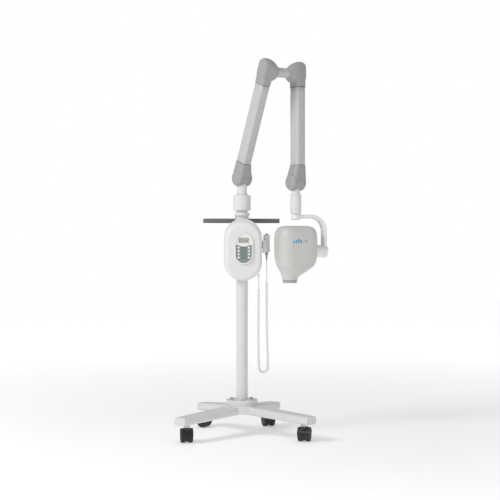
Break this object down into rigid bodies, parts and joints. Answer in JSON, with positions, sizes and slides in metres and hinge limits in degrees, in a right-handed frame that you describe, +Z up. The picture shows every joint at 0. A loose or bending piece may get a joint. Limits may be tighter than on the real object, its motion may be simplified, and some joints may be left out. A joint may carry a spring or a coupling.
{
  "type": "intraoral x-ray unit",
  "caption": "Mobile intraoral X-ray stand: castor base, column with control box, curly-corded handset, folding balanced arms and a tube head in a one-sided yoke.",
  "frame": {"origin": "on the floor, on the column's axis", "axes": "+Z up; -Y towards the operator, who faces the control box; +X to the operator's right"},
  "size_m": [0.7172, 0.5875, 1.7369],
  "materials": {
    "white_paint": "smooth satin powder coat",
    "white_plastic": "fine satin moulding",
    "light_plastic": "fine spark texture",
    "head_plastic": "warm light grey, satin",
    "arm_paint": "light grey satin paint",
    "cover_plastic": "mid grey, fine texture",
    "bar_rubber": "dark grey grip sleeve",
    "castor_black": "black moulding",
    "steel": "brushed",
    "keypad_film": "printed film, grey green",
    "key_white": "soft white",
    "board_green": "circuit board",
    "black_plastic": "black",
    "cord_white": "white curly cord jacket",
    "cone_grey": "grey moulding",
    "tank_metal": "cast"
  },
  "bodies": {
    "root": {"base_frame": "white_paint", "counterweight": "steel", "column_flange": "white_paint", "flange_bolts": "steel", "castor_stems": "steel", "column_tube": "white_paint", "bearing_housing": "white_paint", "handle_clamp": "white_paint", "handle_bar": "bar_rubber", "box_clamps": "steel", "box_back_shell": "white_plastic", "box_front_cover": "light_plastic", "main_board": "board_green", "panel_bezel": "white_plastic", "keypad_overlay": "keypad_film", "display_window": "white_plastic", "mains_inlet": "black_plastic", "handset_holder": "light_plastic", "cord_gland": "light_plastic", "handset_cord": "cord_white", "handset_leads": "cord_white"},
    "castor_fl": {"castor_hood_fl": "castor_black"},
    "wheels_fl": {"wheelset_fl": "castor_black"},
    "pedal_fl": {"brake_pedal_fl": "castor_black"},
    "castor_fr": {"castor_hood_fr": "castor_black"},
    "wheels_fr": {"wheelset_fr": "castor_black"},
    "pedal_fr": {"brake_pedal_fr": "castor_black"},
    "castor_rl": {"castor_hood_rl": "castor_black"},
    "wheels_rl": {"wheelset_rl": "castor_black"},
    "castor_rr": {"castor_hood_rr": "castor_black"},
    "wheels_rr": {"wheelset_rr": "castor_black"},
    "key_left_1": {"key_left_1": "key_white"},
    "key_left_2": {"key_left_2": "key_white"},
    "key_left_3": {"key_left_3": "key_white"},
    "key_left_4": {"key_left_4": "key_white"},
    "key_right_1": {"key_right_1": "key_white"},
    "key_right_2": {"key_right_2": "key_white"},
    "key_right_3": {"key_right_3": "key_white"},
    "key_right_4": {"key_right_4": "key_white"},
    "switch": {"power_switch": "black_plastic"},
    "handset": {"handset_body": "light_plastic"},
    "handset_trigger": {"handset_button": "light_plastic"},
    "swivel": {"swivel_neck": "white_paint"},
    "lower_arm": {"shoulder_cover": "cover_plastic", "lower_arm_tube": "arm_paint", "lower_gas_spring": "steel", "elbow_cover_lower": "cover_plastic"},
    "lower_tie": {"lower_tie_rod": "steel"},
    "link": {"elbow_link": "arm_paint"},
    "upper_arm": {"elbow_cover_upper": "cover_plastic", "upper_arm_tube": "arm_paint", "upper_gas_spring": "steel", "wrist_cover": "cover_plastic"},
    "upper_tie": {"upper_tie_rod": "steel"},
    "wrist": {"wrist_neck": "white_paint"},
    "yoke": {"yoke": "white_plastic"},
    "head": {"head_front_shell": "head_plastic", "head_back_shell": "head_plastic", "cone": "cone_grey", "xray_tank": "tank_metal"}
  },
  "joints": [
    {"name": "castor_swivel_fl", "type": "hinge", "parent": "root", "child": "castor_fl", "pos_m": [-0.26196, -0.24509, 0.065], "axis": [0, 0, 1], "continuous": true},
    {"name": "wheel_spin_fl", "type": "hinge", "parent": "castor_fl", "child": "wheels_fl", "pos_m": [-0.26349, -0.22314, 0.03], "axis": [0.9976, 0.0698, 0], "continuous": true},
    {"name": "brake_fl", "type": "hinge", "parent": "castor_fl", "child": "pedal_fl", "pos_m": [-0.26567, -0.19209, 0.0518], "axis": [-0.9976, -0.0698, 0], "range_deg": [0, 18]},
    {"name": "castor_swivel_fr", "type": "hinge", "parent": "root", "child": "castor_fr", "pos_m": [0.26196, -0.24509, 0.065], "axis": [0, 0, 1], "continuous": true},
    {"name": "wheel_spin_fr", "type": "hinge", "parent": "castor_fr", "child": "wheels_fr", "pos_m": [0.26876, -0.22417, 0.03], "axis": [0.9511, -0.309, 0], "continuous": true},
    {"name": "brake_fr", "type": "hinge", "parent": "castor_fr", "child": "pedal_fr", "pos_m": [0.27838, -0.19456, 0.0518], "axis": [-0.9511, 0.309, 0], "range_deg": [0, 18]},
    {"name": "castor_swivel_rl", "type": "hinge", "parent": "root", "child": "castor_rl", "pos_m": [-0.15015, 0.2248, 0.065], "axis": [0, 0, 1], "continuous": true},
    {"name": "wheel_spin_rl", "type": "hinge", "parent": "castor_rl", "child": "wheels_rl", "pos_m": [-0.16958, 0.23512, 0.03], "axis": [0.4695, 0.8829, 0], "continuous": true},
    {"name": "castor_swivel_rr", "type": "hinge", "parent": "root", "child": "castor_rr", "pos_m": [0.15015, 0.2248, 0.065], "axis": [0, 0, 1], "continuous": true},
    {"name": "wheel_spin_rr", "type": "hinge", "parent": "castor_rr", "child": "wheels_rr", "pos_m": [0.14483, 0.24614, 0.03], "axis": [0.9703, 0.2419, 0], "continuous": true},
    {"name": "key_left_1_press", "type": "slide", "parent": "root", "child": "key_left_1", "axis": [0, 1, 0], "range_m": [0, 0.0015], "stiffness_N_per_m": 300},
    {"name": "key_left_2_press", "type": "slide", "parent": "root", "child": "key_left_2", "axis": [0, 1, 0], "range_m": [0, 0.0015], "stiffness_N_per_m": 300},
    {"name": "key_left_3_press", "type": "slide", "parent": "root", "child": "key_left_3", "axis": [0, 1, 0], "range_m": [0, 0.0015], "stiffness_N_per_m": 300},
    {"name": "key_left_4_press", "type": "slide", "parent": "root", "child": "key_left_4", "axis": [0, 1, 0], "range_m": [0, 0.0015], "stiffness_N_per_m": 300},
    {"name": "key_right_1_press", "type": "slide", "parent": "root", "child": "key_right_1", "axis": [0, 1, 0], "range_m": [0, 0.0015], "stiffness_N_per_m": 300},
    {"name": "key_right_2_press", "type": "slide", "parent": "root", "child": "key_right_2", "axis": [0, 1, 0], "range_m": [0, 0.0015], "stiffness_N_per_m": 300},
    {"name": "key_right_3_press", "type": "slide", "parent": "root", "child": "key_right_3", "axis": [0, 1, 0], "range_m": [0, 0.0015], "stiffness_N_per_m": 300},
    {"name": "key_right_4_press", "type": "slide", "parent": "root", "child": "key_right_4", "axis": [0, 1, 0], "range_m": [0, 0.0015], "stiffness_N_per_m": 300},
    {"name": "power_rock", "type": "hinge", "parent": "root", "child": "switch", "pos_m": [-0.058, -0.043, 0.825], "axis": [1, 0, 0], "range_deg": [0, 12]},
    {"name": "handset_lift", "type": "slide", "parent": "root", "child": "handset", "axis": [0, 0, 1], "range_m": [0, 0.04]},
    {"name": "exposure_press", "type": "slide", "parent": "handset", "child": "handset_trigger", "axis": [0, 0, -1], "range_m": [0, 0.003], "stiffness_N_per_m": 300},
    {"name": "column_swivel", "type": "hinge", "parent": "root", "child": "swivel", "pos_m": [0, 0, 1.121], "axis": [0, 0, 1], "range_deg": [0, 200]},
    {"name": "shoulder", "type": "hinge", "parent": "swivel", "child": "lower_arm", "pos_m": [0, 0, 1.203], "axis": [0.866, 0.5, 0], "range_deg": [0, 50]},
    {"name": "lower_tie_pivot", "type": "hinge", "parent": "swivel", "child": "lower_tie", "pos_m": [-0.00787, 0.01364, 1.22111], "axis": [0.866, 0.5, 0], "range_deg": [0, 50]},
    {"name": "link_level", "type": "hinge", "parent": "lower_arm", "child": "link", "pos_m": [0.10575, -0.18317, 1.67804], "axis": [0.866, 0.5, 0], "range_deg": [-50, 0]},
    {"name": "elbow", "type": "hinge", "parent": "link", "child": "upper_arm", "pos_m": [0.24258, -0.10417, 1.67804], "axis": [0.866, 0.5, 0], "range_deg": [-110, 0]},
    {"name": "upper_tie_pivot", "type": "hinge", "parent": "link", "child": "upper_tie", "pos_m": [0.2357, -0.09224, 1.65838], "axis": [0.866, 0.5, 0], "range_deg": [-110, 0]},
    {"name": "wrist_level", "type": "hinge", "parent": "upper_arm", "child": "wrist", "pos_m": [0.24258, -0.10417, 1.17804], "axis": [0.866, 0.5, 0], "range_deg": [0, 110]},
    {"name": "yoke_swivel", "type": "hinge", "parent": "wrist", "child": "yoke", "pos_m": [0.24258, -0.10417, 1.03], "axis": [0, 0, 1], "range_deg": [-120, 120]},
    {"name": "head_tilt", "type": "hinge", "parent": "yoke", "child": "head", "pos_m": [0.24258, -0.10417, 0.86], "axis": [0.9397, 0.342, 0], "range_deg": [-100, 100]}
  ],
  "couplings": [
    {"joint": "lower_tie_pivot", "follows": "shoulder", "ratio": 1},
    {"joint": "link_level", "follows": "shoulder", "ratio": -1},
    {"joint": "upper_tie_pivot", "follows": "elbow", "ratio": 1},
    {"joint": "wrist_level", "follows": "elbow", "ratio": -1}
  ]
}
